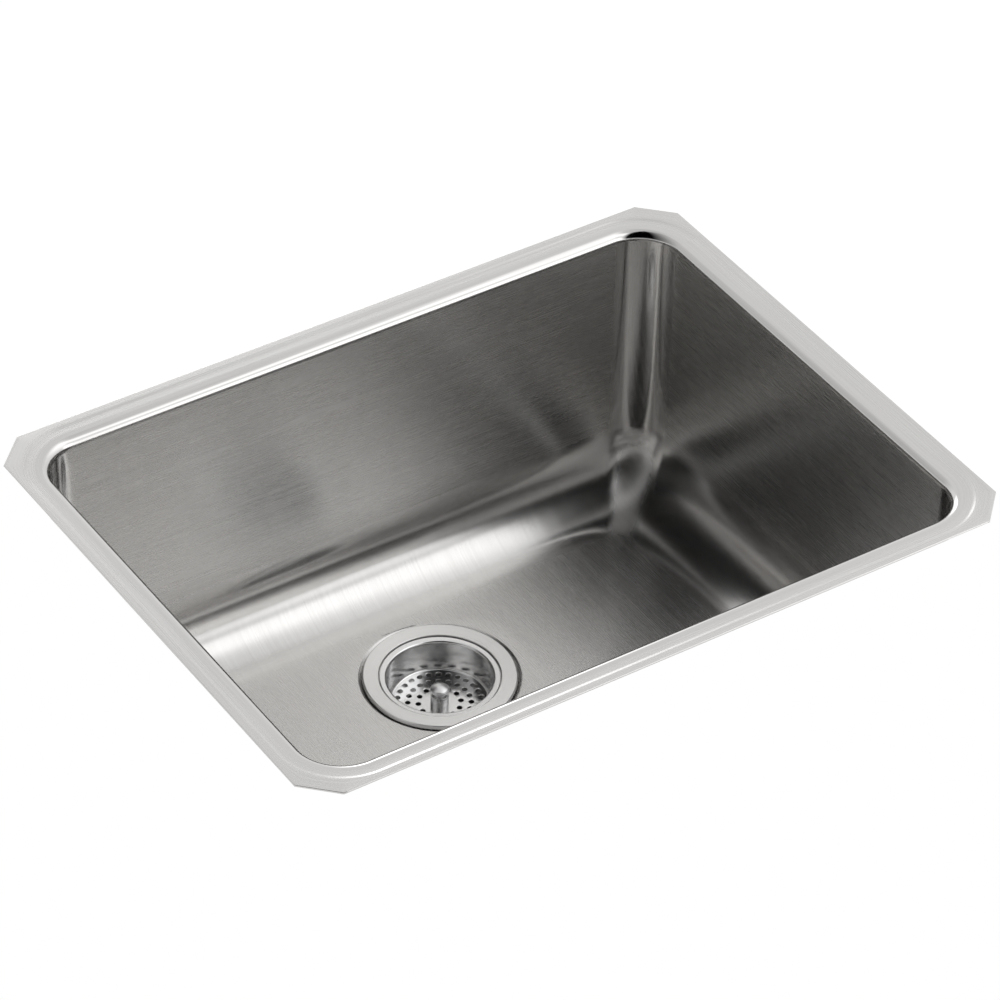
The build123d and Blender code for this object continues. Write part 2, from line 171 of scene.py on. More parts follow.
# Piece turned about the drain's axis from a closed outline of (radius, height) in mm. Point (i, j) =
# axis + radius_i * (cos angle_j, sin angle_j), height_i. reach(radius, height, angle) changes the
# radius, as for a thread, flats or lugs.
def addTurned(name, outline, around, body, cadNode, material, reach=None):
    area = np.sum(outline[:, 0] * np.roll(outline[:, 1], -1) - np.roll(outline[:, 0], -1) * outline[:, 1])
    if area < 0:
        outline = outline[::-1]
    angle = np.arange(around) * 2 * np.pi / around
    radius, turn = np.meshgrid(outline[:, 0], angle, indexing="ij")
    height = np.broadcast_to(outline[:, 1:2], radius.shape)
    if reach is not None:
        radius = reach(radius, height, turn)
    x, y = drainAxis[0] + radius * np.cos(turn), drainAxis[1] + radius * np.sin(turn)
    points = np.stack([x, y, height], axis=-1)
    quads = gridFaces(len(outline), around, True)
    travelled = np.concatenate([[0], np.cumsum(np.linalg.norm(np.roll(outline, -1, 0) - outline, axis=1))])
    u, v = np.meshgrid(np.arange(around + 1) / around * outline[:, 0].max() * 2 * np.pi, travelled)
    mesh = newMesh(name, points.reshape(-1, 3) * mm, quads, gridLoops(np.stack([u, v], axis=-1) * mm))
    closePoles(mesh)
    return linkMesh(name, mesh, body, cadNode, material)


def newGroup(name, inputs, outputs):
    group = bpy.data.node_groups.new(name, "ShaderNodeTree")
    for label, kind, value in inputs:
        socket = group.interface.new_socket(label, in_out="INPUT", socket_type=kind)
        if value is not None:
            socket.default_value = value
    for label, kind in outputs:
        group.interface.new_socket(label, in_out="OUTPUT", socket_type=kind)
    return group, group.nodes.new("NodeGroupInput"), group.nodes.new("NodeGroupOutput")


def addNode(tree, kind, **settings):
    node = tree.nodes.new(kind)
    for key, value in settings.items():
        setattr(node, key, value)
    return node


def mathNode(tree, operation, first, second, third=None):
    node = addNode(tree, "ShaderNodeMath", operation=operation)
    for socket, value in zip(node.inputs, (first, second, third)):
        if isinstance(value, bpy.types.NodeSocket):
            tree.links.new(value, socket)
        elif value is not None:
            socket.default_value = value
    return node.outputs[0]


# Streaks along the first axis of the vector: fine noise, drawn out along the grain.
def makeBrushGroup():
    group, source, target = newGroup(
        "brushedGrain",
        [
            ("Vector", "NodeSocketVector", None),
            ("Along", "NodeSocketFloat", 20.0),
            ("Across", "NodeSocketFloat", 1800.0),
        ],
        [("Fine", "NodeSocketFloat"), ("Broad", "NodeSocketFloat")],
    )
    stretch = addNode(group, "ShaderNodeCombineXYZ")
    group.links.new(source.outputs["Along"], stretch.inputs[0])
    group.links.new(source.outputs["Across"], stretch.inputs[1])
    scaled = addNode(group, "ShaderNodeVectorMath", operation="MULTIPLY")
    group.links.new(source.outputs["Vector"], scaled.inputs[0])
    group.links.new(stretch.outputs[0], scaled.inputs[1])
    fine = addNode(group, "ShaderNodeTexNoise", noise_dimensions="2D")
    fine.inputs["Scale"].default_value = 1.0
    fine.inputs["Detail"].default_value = 3.0
    broad = addNode(group, "ShaderNodeTexNoise", noise_dimensions="2D")
    broad.inputs["Scale"].default_value = 0.12
    broad.inputs["Detail"].default_value = 2.0
    for noise, label in ((fine, "Fine"), (broad, "Broad")):
        group.links.new(scaled.outputs[0], noise.inputs["Vector"])
        group.links.new(noise.outputs["Fac"], target.inputs[label])
    return group


# Slow cloudy variation, as of handling and of an uneven polish.
def makeSmudgeGroup():
    group, source, target = newGroup(
        "handling",
        [("Vector", "NodeSocketVector", None), ("Scale", "NodeSocketFloat", 14.0)],
        [("Cloud", "NodeSocketFloat")],
    )
    noise = addNode(group, "ShaderNodeTexNoise", noise_dimensions="3D")
    noise.inputs["Detail"].default_value = 4.0
    noise.inputs["Roughness"].default_value = 0.55
    group.links.new(source.outputs["Vector"], noise.inputs["Vector"])
    group.links.new(source.outputs["Scale"], noise.inputs["Scale"])
    group.links.new(noise.outputs["Fac"], target.inputs["Cloud"])
    return group


brushedGrain = makeBrushGroup()
handling = makeSmudgeGroup()


def placeGroup(tree, group, vector, **values):
    node = addNode(tree, "ShaderNodeGroup", node_tree=group)
    tree.links.new(vector, node.inputs["Vector"])
    for key, value in values.items():
        node.inputs[key].default_value = value
    return node


def rampColour(tree, factor, dark, light):
    mix = addNode(tree, "ShaderNodeMix", data_type="RGBA")
    tree.links.new(factor, mix.inputs["Factor"])
    mix.inputs["A"].default_value = (*dark, 1)
    mix.inputs["B"].default_value = (*light, 1)
    return mix.outputs["Result"]


# Tone that is 0.6 of one pattern and 0.4 of another.
def mixTones(tree, major, minor):
    return mathNode(tree, "MULTIPLY_ADD", major, 0.6, mathNode(tree, "MULTIPLY", minor, 0.4))


# A base value that swings by up to half an amount each way as a pattern goes from 0 to 1.
def swing(tree, pattern, amount, base):
    return mathNode(tree, "MULTIPLY_ADD", mathNode(tree, "SUBTRACT", pattern, 0.5), amount, base)


def addBump(tree, shader, height, strength, distance):
    bump = addNode(tree, "ShaderNodeBump")
    bump.inputs["Strength"].default_value = strength
    bump.inputs["Distance"].default_value = distance
    tree.links.new(height, bump.inputs["Height"])
    tree.links.new(bump.outputs[0], shader.inputs["Normal"])


def startMaterial(name, metallic):
    material = bpy.data.materials.new(name)
    material.use_nodes = True
    tree = material.node_tree
    shader = tree.nodes["Principled BSDF"]
    shader.inputs["Metallic"].default_value = metallic
    return material, tree, shader


# Stainless steel with a directional grain on the piece's UV, and cloudy wear on its roughness.
def steelMaterial(name, look):
    material, tree, shader = startMaterial(name, 1.0)
    surface = addNode(tree, "ShaderNodeUVMap", uv_map="grain")
    place = addNode(tree, "ShaderNodeTexCoord")
    grain = placeGroup(tree, brushedGrain, surface.outputs["UV"], Along=look["along"], Across=look["across"])
    cloud = placeGroup(tree, handling, place.outputs["Object"], Scale=look["cloudScale"])
    tone = mixTones(tree, grain.outputs["Fine"], grain.outputs["Broad"])
    colour = rampColour(tree, tone, look["dark"], look["light"])
    tree.links.new(colour, shader.inputs["Base Color"])
    rough = swing(tree, tone, look["grainRough"], look["roughness"])
    rough = swing(tree, cloud.outputs["Cloud"], look["cloudRough"], rough)
    if "polishedRoughness" in look:
        polish = addNode(tree, "ShaderNodeAttribute", attribute_name="polish")
        blend = addNode(tree, "ShaderNodeMix", data_type="FLOAT", clamp_factor=False)
        tree.links.new(polish.outputs["Fac"], blend.inputs["Factor"])
        tree.links.new(rough, blend.inputs["A"])
        blend.inputs["B"].default_value = look["polishedRoughness"]
        rough = blend.outputs["Result"]
    tree.links.new(rough, shader.inputs["Roughness"])
    addBump(tree, shader, grain.outputs["Fine"], look["bump"], look["bumpDepth"])
    if look["anisotropy"] > 0:
        tangent = addNode(tree, "ShaderNodeTangent", direction_type="UV_MAP", uv_map="grain")
        tree.links.new(tangent.outputs[0], shader.inputs["Tangent"])
        shader.inputs["Anisotropic"].default_value = look["anisotropy"]
        shader.inputs["Anisotropic Rotation"].default_value = 0.25
    return material


# Rubber, fibre, nylon or a cast plating: a mottled colour with a fine skin in its bump.
def plainMaterial(name, look):
    material, tree, shader = startMaterial(name, look.get("metallic", 0.0))
    place = addNode(tree, "ShaderNodeTexCoord")
    cloud = placeGroup(tree, handling, place.outputs["Object"], Scale=look["cloudScale"])
    skin = placeGroup(tree, handling, place.outputs["Object"], Scale=look["skinScale"])
    tone = mixTones(tree, cloud.outputs["Cloud"], skin.outputs["Cloud"])
    tree.links.new(rampColour(tree, tone, look["dark"], look["light"]), shader.inputs["Base Color"])
    rough = swing(tree, tone, look["toneRough"], look["roughness"])
    tree.links.new(rough, shader.inputs["Roughness"])
    addBump(tree, shader, skin.outputs["Cloud"], look["bump"], look["bumpDepth"])
    return material


bowlLook = dict(
    along=14.0, across=1500.0, dark=(0.555, 0.545, 0.535), light=(0.705, 0.70, 0.69), roughness=0.27,
    grainRough=0.10, cloudScale=9.0, cloudRough=0.05, polishedRoughness=0.10, bump=0.12, bumpDepth=0.00002,
    anisotropy=0.55,
)
satinLook = dict(
    along=30.0, across=2600.0, dark=(0.70, 0.695, 0.69), light=(0.82, 0.82, 0.81), roughness=0.30,
    grainRough=0.12, cloudScale=20.0, cloudRough=0.05, bump=0.10, bumpDepth=0.00002, anisotropy=0.4,
)
polishedLook = dict(
    along=20.0, across=1500.0, dark=(0.70, 0.70, 0.70), light=(0.78, 0.78, 0.78), roughness=0.20,
    grainRough=0.06, cloudScale=40.0, cloudRough=0.05, bump=0.05, bumpDepth=0.00001, anisotropy=0.0,
)
knobLook = dict(
    along=200.0, across=900.0, dark=(0.76, 0.76, 0.76), light=(0.86, 0.86, 0.86), roughness=0.34,
    grainRough=0.05, cloudScale=60.0, cloudRough=0.06, bump=0.04, bumpDepth=0.00001, anisotropy=0.0,
)
turnedLook = dict(
    along=60.0, across=5000.0, dark=(0.56, 0.56, 0.56), light=(0.68, 0.68, 0.68), roughness=0.24,
    grainRough=0.12, cloudScale=40.0, cloudRough=0.08, bump=0.15, bumpDepth=0.00002, anisotropy=0.3,
)
tubeLook = dict(
    along=30.0, across=1200.0, dark=(0.74, 0.74, 0.74), light=(0.80, 0.80, 0.80), roughness=0.09,
    grainRough=0.03, cloudScale=25.0, cloudRough=0.06, bump=0.03, bumpDepth=0.00001, anisotropy=0.0,
)
castLook = dict(
    metallic=1.0, cloudScale=60.0, skinScale=900.0, dark=(0.44, 0.43, 0.41), light=(0.60, 0.59, 0.57),
    roughness=0.40, toneRough=0.25, bump=0.35, bumpDepth=0.0002,
)
blackRubberLook = dict(
    cloudScale=50.0, skinScale=1200.0, dark=(0.018, 0.018, 0.019), light=(0.045, 0.045, 0.046),
    roughness=0.62, toneRough=0.20, bump=0.3, bumpDepth=0.0001,
)
padLook = dict(
    cloudScale=30.0, skinScale=700.0, dark=(0.085, 0.086, 0.092), light=(0.16, 0.162, 0.17),
    roughness=0.78, toneRough=0.20, bump=0.6, bumpDepth=0.0004,
)
fibreLook = dict(
    cloudScale=120.0, skinScale=1500.0, dark=(0.40, 0.29, 0.17), light=(0.66, 0.52, 0.36),
    roughness=0.85, toneRough=0.15, bump=0.5, bumpDepth=0.0002,
)
nylonLook = dict(
    cloudScale=60.0, skinScale=800.0, dark=(0.78, 0.78, 0.75), light=(0.88, 0.88, 0.86),
    roughness=0.45, toneRough=0.10, bump=0.1, bumpDepth=0.0001,
)

bowlSteel = steelMaterial("bowlSteel", bowlLook)
satinSteel = steelMaterial("satinSteel", satinLook)
polishedSteel = steelMaterial("polishedSteel", polishedLook)
knobSteel = steelMaterial("knobSteel", knobLook)
turnedSteel = steelMaterial("turnedSteel", turnedLook)
tubeChrome = steelMaterial("tubeChrome", tubeLook)
castPlating = plainMaterial("castPlating", castLook)
blackRubber = plainMaterial("blackRubber", blackRubberLook)
padRubber = plainMaterial("padRubber", padLook)
pressedFibre = plainMaterial("pressedFibre", fibreLook)
whiteNylon = plainMaterial("whiteNylon", nylonLook)
print("materials ready")


view = dict(
    azimuth=-34.17, elevation=39.11, roll=1.51, distance=3.562, lens=180.3,
    aimRight=0.0001, aimUp=-0.01524,
)


# Right, up and back directions of the camera from its azimuth, elevation and roll.
def cameraAxes():
    azimuth, elevation, roll = (math.radians(view[k]) for k in ("azimuth", "elevation", "roll"))
    flat = math.cos(elevation)
    back = Vector((math.sin(azimuth) * flat, -math.cos(azimuth) * flat, math.sin(elevation)))
    level = Vector((math.cos(azimuth), math.sin(azimuth), 0))
    upright = back.cross(level)
    right = level * math.cos(roll) + upright * math.sin(roll)
    return right, back.cross(right), back


def addCamera():
    right, up, back = cameraAxes()
    data = bpy.data.cameras.new("camera")
    data.lens = view["lens"]
    data.sensor_width = 36
    data.clip_end = 60
    camera = bpy.data.objects.new("camera", data)
    scene.collection.objects.link(camera)
    place = right * view["aimRight"] + up * view["aimUp"] + back * view["distance"]
    camera.matrix_world = Matrix((right, up, back)).transposed().to_4x4()
    camera.location = place
    scene.camera = camera
    return camera


camera = addCamera()

studio = dict(
    worldDiffuse=0.55, floorSize=14.0, floorGrey=0.86, floorShade=0.45, floorLit=0.52,
)


# 1 where the camera, a gloss or a glass looks, and 0 for every other ray.
def seenDirectly(tree):
    path = addNode(tree, "ShaderNodeLightPath")
    seen = mathNode(tree, "MAXIMUM", path.outputs["Is Camera Ray"], path.outputs["Is Glossy Ray"])
    return mathNode(tree, "MAXIMUM", seen, path.outputs["Is Transmission Ray"])


# Material that only glows, with its tree and the node that does it.
def glowMaterial(name):
    material = bpy.data.materials.new(name)
    material.use_nodes = True
    tree = material.node_tree
    tree.nodes.remove(tree.nodes["Principled BSDF"])
    glow = addNode(tree, "ShaderNodeEmission")
    tree.links.new(glow.outputs[0], tree.nodes["Material Output"].inputs["Surface"])
    return material, tree, glow


# Matt board that the camera and a gloss see as white, with a share of its own shading left in.
def boardMaterial(name, grey, shade):
    material, tree, shader = startMaterial(name, 0.0)
    shader.inputs["Base Color"].default_value = (grey, grey, grey, 1)
    shader.inputs["Roughness"].default_value = 0.9
    glow = addNode(tree, "ShaderNodeEmission")
    seen = seenDirectly(tree)
    tree.links.new(mathNode(tree, "MULTIPLY", seen, 1 - shade * studio["floorLit"]), glow.inputs["Strength"])
    mix = addNode(tree, "ShaderNodeMixShader")
    tree.links.new(mathNode(tree, "MULTIPLY", seen, 1 - shade), mix.inputs[0])
    tree.links.new(shader.outputs[0], mix.inputs[1])
    total = addNode(tree, "ShaderNodeAddShader")
    tree.links.new(mix.outputs[0], total.inputs[0])
    tree.links.new(glow.outputs[0], total.inputs[1])
    tree.links.new(total.outputs[0], tree.nodes["Material Output"].inputs["Surface"])
    return material


def addCard(name, corners, material):
    mesh = bpy.data.meshes.new(name)
    mesh.from_pydata([tuple(c) for c in corners], [], [tuple(range(len(corners)))])
    card = bpy.data.objects.new(name, mesh)
    scene.collection.objects.link(card)
    mesh.materials.append(material)
    return card


def showOnlyTo(card, camera=False, glossy=False):
    card.visible_camera = camera
    card.visible_glossy = glossy
    card.visible_diffuse = False
    card.visible_transmission = False
    card.visible_shadow = False


def addFloor():
    half = studio["floorSize"] / 2
    height = cadBox[0][2] - 0.0005
    corners = [(-half, -half, height), (half, -half, height), (half, half, height), (-half, half, height)]
    addCard("floor", corners, boardMaterial("floorBoard", studio["floorGrey"], studio["floorShade"]))


tent = dict(radius=2.6, columns=241, rows=67, foot=-9, top=90)
tentParts = {
    "cloth": dict(turn=(165, 298), turnFade=(18, 110), tilt=(6, 200), tiltFade=(12, 4), level=0.0),
    "softbox": dict(turn=(80, 172), turnFade=(40, 24), tilt=(23, 62), tiltFade=(30, 10), level=1.62),
    "gap": dict(turn=(138, 160), turnFade=(8, 8), tilt=(33, 41), tiltFade=(5, 5), level=0.6),
    "strip": dict(turn=(135, 175), turnFade=(10, 10), tilt=(-20, 22), tiltFade=(5, 8), level=1.9),
    "window": dict(turn=(8, 28), turnFade=(8, 8), tilt=(8, 26), tiltFade=(8, 6), level=3.2),
    "back": dict(turn=(-40, 64), turnFade=(30, 24), tilt=(28, 200), tiltFade=(8, 4), level=0.9),
    "ceiling": dict(turn=(-200, 200), turnFade=(1, 1), tilt=(66, 200), tiltFade=(12, 4), level=0.8),
}


# Rise from 0 to 1 about the band's start and fall back about its end, each over its own fade.
def softBand(angle, band, fades):
    rise = np.clip((angle - band[0]) / fades[0] + 0.5, 0, 1)
    fall = np.clip((band[1] - angle) / fades[1] + 0.5, 0, 1)
    return rise * fall


# White tent round the sink that only the gloss on the steel sees, as part of a sphere. At a turn t
# (0 behind the sink, 90 to its right) and a tilt e its level is the product over the tent's parts
# of 1 + (level - 1) * band(t) * band(e).
def addTent():
    turn, tilt = np.meshgrid(
        np.linspace(0, 360, tent["columns"]), np.linspace(tent["foot"], tent["top"], tent["rows"])
    )
    level = np.ones(turn.shape)
    for part in tentParts.values():
        middle = np.mean(part["turn"])
        nearest = (turn - middle + 180) % 360 - 180 + middle
        share = softBand(nearest, part["turn"], part["turnFade"])
        share = share * softBand(tilt, part["tilt"], part["tiltFade"])
        level *= 1 + (part["level"] - 1) * share
    t, e = np.radians(turn), np.radians(tilt)
    outward = np.stack([np.sin(t) * np.cos(e), np.cos(t) * np.cos(e), np.sin(e)], axis=-1)
    rows, columns = turn.shape
    i, j = np.meshgrid(np.arange(rows - 1), np.arange(columns - 1), indexing="ij")
    corner = i * columns + j
    quads = np.stack([corner, corner + 1, corner + columns + 1, corner + columns], axis=-1).reshape(-1, 4)
    mesh = newMesh("tent", outward.reshape(-1, 3) * tent["radius"], quads, None, {"level": level})
    material, tree, glow = glowMaterial("tentFabric")
    mark = addNode(tree, "ShaderNodeAttribute", attribute_name="level")
    tree.links.new(mark.outputs["Fac"], glow.inputs["Strength"])
    mesh.materials.append(material)
    fabric = bpy.data.objects.new("tent", mesh)
    scene.collection.objects.link(fabric)
    showOnlyTo(fabric, glossy=True)


# White board close to the lens, which hides the outside of the bowl from this one camera. Its
# upper edge runs along the flange's near edges.
def addMask():
    low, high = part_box("sink_bowl")
    cut = bowl["cornerCut"] * mm
    height = -bowl["sheet"] * mm - 0.0002
    beyond = 1.2
    edge = [
        Vector((low.x, high.y - cut, height)),
        Vector((low.x, low.y + cut, height)),
        Vector((low.x + cut, low.y, height)),
        Vector((high.x - cut, low.y, height)),
        Vector((high.x, low.y + cut, height)),
    ]
    right, up = cameraAxes()[:2]
    farRight, farLeft = edge[-1] + right * beyond, edge[0] - right * beyond
    outer = [farRight, farRight - up * beyond, farLeft - up * beyond, farLeft]
    shrink = 0.12
    corners = [camera.location + (corner - camera.location) * shrink for corner in edge + outer]
    card = addCard("mask", corners, glowMaterial("whiteBoard")[0])
    showOnlyTo(card, camera=True)


# White surroundings for the camera, gloss and glass, and a softer fill for everything else.
def addWorld():
    world = bpy.data.worlds.new("studio")
    scene.world = world
    world.use_nodes = True
    tree = world.node_tree
    background = tree.nodes["Background"]
    fill = studio["worldDiffuse"]
    strength = mathNode(tree, "MULTIPLY_ADD", seenDirectly(tree), 1 - fill, fill)
    tree.links.new(strength, background.inputs["Strength"])
    background.inputs["Color"].default_value = (1, 1, 1, 1)


lamps = {
    "key": dict(turn=108, tilt=50, distance=3.2, size=(2.4, 1.6), radiance=1.2),
}


def addLamps():
    for name, lamp in lamps.items():
        turn, tilt = math.radians(lamp["turn"]), math.radians(lamp["tilt"])
        outward = Vector((math.sin(turn) * math.cos(tilt), math.cos(turn) * math.cos(tilt), math.sin(tilt)))
        data = bpy.data.lights.new(name, "AREA")
        data.shape = "RECTANGLE"
        data.size, data.size_y = lamp["size"]
        data.energy = lamp["radiance"] * math.pi * data.size * data.size_y
        data.specular_factor = 0
        light = bpy.data.objects.new(name, data)
        scene.collection.objects.link(light)
        light.location = outward * lamp["distance"]
        light.rotation_euler = (-outward).to_track_quat("-Z", "Y").to_euler()


bowl = dict(
    cornerCut=23.8, rimWidth=23.8, sheet=1.2, depth=241.3,
    cornerRadius=33.0, bendRadius=55.0, floorCorner=14.0,
    rollRadius=8.0, rimStep=0.8, stepTop=18.8, stepFoot=15.3, edge=0.3,
    recessDepth=2.5, recessInner=58.9, recessOuter=61.4, holeRadius=46.0,
    drainBehind=73.0, drainTwist=0.28,
    around=432, stepSteps=8, rollSteps=14, wallSteps=11, bendSteps=30, floorSteps=10,
    polishFade=0.35, bendPolish=0.55, cornerHaze=0.6,
)


# Corner centres and outward normals round the opening, as (around, 2) arrays. The points are spread
# evenly by angle on the four corners, which take a share of them, and evenly by length on the four
# sides.
def bowlContour():
    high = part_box("sink_bowl")[1]
    halfX = high.x / mm - bowl["rimWidth"]
    halfY = high.y / mm - bowl["rimWidth"]
    coreX = halfX - bowl["cornerRadius"]
    coreY = halfY - bowl["cornerRadius"]
    perCorner = bowl["around"] // 12
    perSide = bowl["around"] // 4 - perCorner
    core, normal = [], []
    for quarter, (signX, signY) in enumerate(((1, 1), (-1, 1), (-1, -1), (1, -1))):
        corner = np.array([signX * coreX, signY * coreY])
        angle = math.pi / 2 * (quarter + np.arange(perCorner) / perCorner)
        core.append(np.broadcast_to(corner, (perCorner, 2)))
        normal.append(np.stack([np.cos(angle), np.sin(angle)], axis=-1))
        following = np.array([-signY * coreX, signX * coreY])
        t = np.arange(perSide)[:, None] / perSide
        core.append(corner + (following - corner) * t)
        straight = math.pi / 2 * (quarter + 1)
        normal.append(np.broadcast_to([math.cos(straight), math.sin(straight)], (perSide, 2)))
    return np.concatenate(core), np.concatenate(normal), np.array([coreX, coreY])


core, normal, coreHalf = bowlContour()


# Outline at a distance out from the wall's inner face. Outside, it is an offset of the wall's
# outline. Inside, it is a smaller rounded rectangle, whose corner radius falls evenly from the
# wall's to the floor's over the width of the bend.
def contourAt(out):
    inset = max(-out, 0)
    radius = bowl["cornerRadius"] - (bowl["cornerRadius"] - bowl["floorCorner"]) * inset / bowl["bendRadius"]
    half = coreHalf + bowl["cornerRadius"] - inset - radius
    return core * half / coreHalf + normal * (radius + max(out, 0))


# Flange outline: each contour point carried out along its normal to the flange's straight edges.
def octagonAt(inset):
    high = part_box("sink_bowl")[1]
    length, width = high.x / mm, high.y / mm
    cut = bowl["cornerCut"]
    angle = np.arange(8) * math.pi / 4
    faces = np.stack([np.cos(angle), np.sin(angle)], axis=-1)
    reach = np.where(np.arange(8) % 2 == 0, 0, (length + width - cut) * math.sqrt(0.5))
    reach[[0, 4]] = length
    reach[[2, 6]] = width
    reach = reach - inset
    start = contourAt(bowl["stepTop"])
    slope = normal @ faces.T
    travel = np.where(slope > 0.05, (reach - start @ faces.T) / np.maximum(slope, 0.05), np.inf)
    outline = start + normal * travel.min(axis=1)[:, None]
    for k in range(8):
        pair = np.stack([faces[k], faces[(k + 1) % 8]])
        corner = np.linalg.solve(pair, reach[[k, (k + 1) % 8]])
        outline[np.argmin(np.linalg.norm(outline - corner, axis=1))] = corner
    return outline


# Points (out, height) on an arc, with angles in degrees from straight out, counterclockwise.
def arcRows(centre, radius, start, end, steps):
    angle = np.radians(np.linspace(start, end, steps + 1))
    return np.stack([centre[0] + radius * np.cos(angle), centre[1] + radius * np.sin(angle)], axis=-1)


# S-shaped rows (out, height) between two levels.
def softStep(start, end, steps):
    t = np.linspace(0, 1, steps + 1)
    s = t * t * (3 - 2 * t)
    out = start[0] + (end[0] - start[0]) * t
    height = start[1] + (end[1] - start[1]) * s
    return np.stack([out, height], axis=-1)


# Rows (out, height) of one face of the sheet, from the step of the rim to the floor. grow is 0 on
# the top face, and the sheet's thickness on the underside.
def bowlRows(grow):
    rollOut = bowl["rollRadius"]
    land = -bowl["rimStep"]
    bendTop = -bowl["depth"] + bowl["bendRadius"]
    wallTop = land - rollOut
    wall = np.linspace(wallTop, bendTop, bowl["wallSteps"] + 1)[1:-1]
    return np.concatenate([
        softStep((bowl["stepTop"], -grow), (bowl["stepFoot"], land - grow), bowl["stepSteps"]),
        [[(bowl["stepFoot"] + rollOut) / 2, land - grow]],
        arcRows((rollOut, wallTop), rollOut - grow, 90, 180, bowl["rollSteps"]),
        np.stack([np.full(len(wall), grow), wall], axis=-1),
        arcRows((-bowl["bendRadius"], bendTop), bowl["bendRadius"] + grow, 0, -90, bowl["bendSteps"]),
    ])


# Circle about the drain, its points spread evenly and turned to face those of the bowl's outline.
def drainCircle(radius):
    count = len(core)
    start = math.pi / 4 - bowl["drainTwist"]
    angle = start + 2 * np.pi * (np.arange(count) - count / 24) / count
    return np.array([0, bowl["drainBehind"]]) + radius * np.stack([np.cos(angle), np.sin(angle)], axis=-1)


# Rows that turn the floor's outline into the circle round the drain, all in one plane.
def floorRows(out, height):
    outer, inner = contourAt(out), drainCircle(bowl["recessOuter"])
    share = np.linspace(0, 1, bowl["floorSteps"] + 1)[1:-1]
    return [(outer + (inner - outer) * s, height) for s in share]


# Bowl and flange as one closed grid: outlines at their heights, from the flange's edge over the
# top face to the drain hole, and back along the underside.
def addBowl():
    sheet, depth, edge = bowl["sheet"], bowl["depth"], bowl["edge"]
    recess = depth + bowl["recessDepth"]
    rows = [
        (octagonAt(0), -sheet + edge), (octagonAt(0), -edge), (octagonAt(edge * 0.3), -edge * 0.3),
        (octagonAt(edge), 0), (octagonAt(2 * edge), 0),
    ]
    firstWall = len(rows)
    topRows = bowlRows(0)
    rows += [(contourAt(out), height) for out, height in topRows]
    rows += floorRows(-bowl["bendRadius"], -depth)
    slope = bowl["recessOuter"] - bowl["recessInner"]
    inner, outer, hole = bowl["recessInner"], bowl["recessOuter"], bowl["holeRadius"]
    recessSection = [
        (outer + 0.8, -depth), (outer - 0.2, -depth - 0.1),
        (inner + slope * 0.15, -recess + 0.2), (inner - 0.6, -recess),
        (hole + edge, -recess), (hole, -recess - edge),
        (hole, -recess - sheet + edge), (hole + edge, -recess - sheet),
        (inner - 0.6, -recess - sheet), (outer, -depth - sheet),
    ]
    rows += [(drainCircle(radius), height) for radius, height in recessSection]
    rows += floorRows(-bowl["bendRadius"], -depth - sheet)[::-1]
    rows += [(contourAt(out), height) for out, height in bowlRows(sheet)[::-1]]
    rows += [
        (octagonAt(2 * edge), -sheet), (octagonAt(edge), -sheet), (octagonAt(edge * 0.3), -sheet + edge * 0.3)
    ]
    points = np.stack([np.column_stack([outline, np.full(len(outline), height)]) for outline, height in rows])

    # Polish: 1 on the roll, part of it on the bend, and on the upright corners down to the bend's
    # top. Below 0, in the ball corners, the grain is rougher than on the walls.
    cornerTurn = 2 * np.abs(normal[:, 0] * normal[:, 1])
    cornerShare = np.clip(cornerTurn / bowl["polishFade"], 0, 1)
    rollStart = firstWall + bowl["stepSteps"] + 2
    rollEnd = rollStart + bowl["rollSteps"] + 1
    lastBend = firstWall + len(topRows)
    bendStart = lastBend - bowl["bendSteps"] - 1
    polish = np.zeros(points.shape[:2])
    polish[rollEnd:bendStart] = cornerShare
    down = np.linspace(0, 1, bowl["bendSteps"] + 1)[:, None]
    inBend = np.clip(8 * down, 0, 1) * np.clip(12 * (1 - down), 0, 1)
    upright = np.clip(1 - 4 * down, 0, 1) * cornerShare
    sides = bowl["bendPolish"] * inBend * (1 - cornerTurn)
    haze = bowl["cornerHaze"] * inBend * np.clip(4 * down - 0.5, 0, 1) * cornerTurn ** 2
    polish[bendStart:lastBend] = np.maximum(upright, sides) - haze
    rollFoot = np.clip(np.linspace(3.6, 0.0, bowl["rollSteps"] + 1), 0, 1)[:, None]
    polish[rollStart:rollEnd] = np.maximum(rollFoot, cornerShare)

    wallTop = contourAt(0)
    along = np.concatenate([[0], np.cumsum(np.linalg.norm(np.roll(wallTop, -1, 0) - wallTop, axis=1))])
    closed = np.concatenate([points, points[:1]])
    closed = np.concatenate([closed, closed[:, :1]], axis=1)
    down = np.concatenate([[0], np.cumsum(np.linalg.norm(np.diff(closed[:, 0], axis=0), axis=1))])
    u, v = np.meshgrid(along, down)
    wallUv = np.stack([u, v], axis=-1)
    facing = np.concatenate([normal, normal[:1]])
    rise = closed[..., 2] + depth
    floorUv = np.stack([closed[..., 1] + facing[:, 1] * rise, closed[..., 0] + facing[:, 0] * rise], axis=-1)
    uv = gridLoops(wallUv)
    floorQuads = (len(rows) - 2 * bendStart) * len(core)  # the floor's grain runs on up the bend
    first = bendStart * len(core) * 4
    uv[first:first + floorQuads * 4] = gridLoops(floorUv)[first:first + floorQuads * 4]
    quads = gridFaces(len(rows), len(core), True)
    mesh = newMesh("sinkBowl", points.reshape(-1, 3) * mm, quads, uv * mm, {"polish": polish})
    return linkMesh("sinkBowl", mesh, "sink", "sink_bowl", bowlSteel)


drainAxis = (0.0, bowl["drainBehind"])


def nodeHeights(node):
    low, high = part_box(node)
    return low.z / mm, high.z / mm


